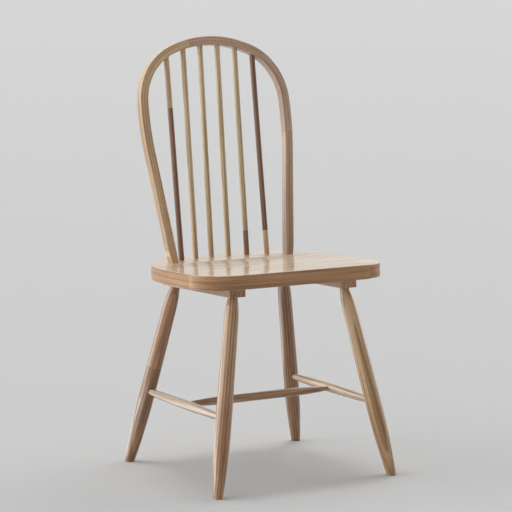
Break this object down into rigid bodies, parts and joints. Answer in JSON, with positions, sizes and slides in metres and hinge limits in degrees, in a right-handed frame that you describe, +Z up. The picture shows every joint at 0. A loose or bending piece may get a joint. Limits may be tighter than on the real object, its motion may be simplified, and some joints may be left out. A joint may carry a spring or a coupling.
{
  "type": "windsor chair",
  "caption": "Armless wooden dining chair with a bent hoop back, upright spindles, a scooped seat, splayed turned legs and crossed stretchers.",
  "frame": {"origin": "on the floor, below the middle of the chair's bounding box", "axes": "+Z up from the floor, -Y towards the front of the seat, +X towards the right as seen from in front; left in a node's name is the -X side"},
  "size_m": [0.4468, 0.4389, 0.9151],
  "materials": {
    "seat_wood": "clear gloss lacquer",
    "leg_wood": "clear gloss lacquer",
    "stretcher_wood": "clear gloss lacquer",
    "hoop_wood": "clear gloss lacquer",
    "spindle_wood": "clear gloss lacquer",
    "screw_steel": "zinc plated"
  },
  "bodies": {
    "root": {"seat": "seat_wood", "batten_left": "leg_wood", "batten_right": "leg_wood", "batten_screws": "screw_steel", "leg_front_left": "leg_wood", "leg_front_right": "leg_wood", "leg_rear_left": "leg_wood", "leg_rear_right": "leg_wood", "stretcher_left": "stretcher_wood", "stretcher_right": "stretcher_wood", "stretcher_cross": "stretcher_wood", "hoop": "hoop_wood", "spindle_1": "spindle_wood", "spindle_2": "spindle_wood", "spindle_3": "spindle_wood", "spindle_4": "spindle_wood", "spindle_5": "spindle_wood", "spindle_6": "spindle_wood"}
  },
  "joints": []
}
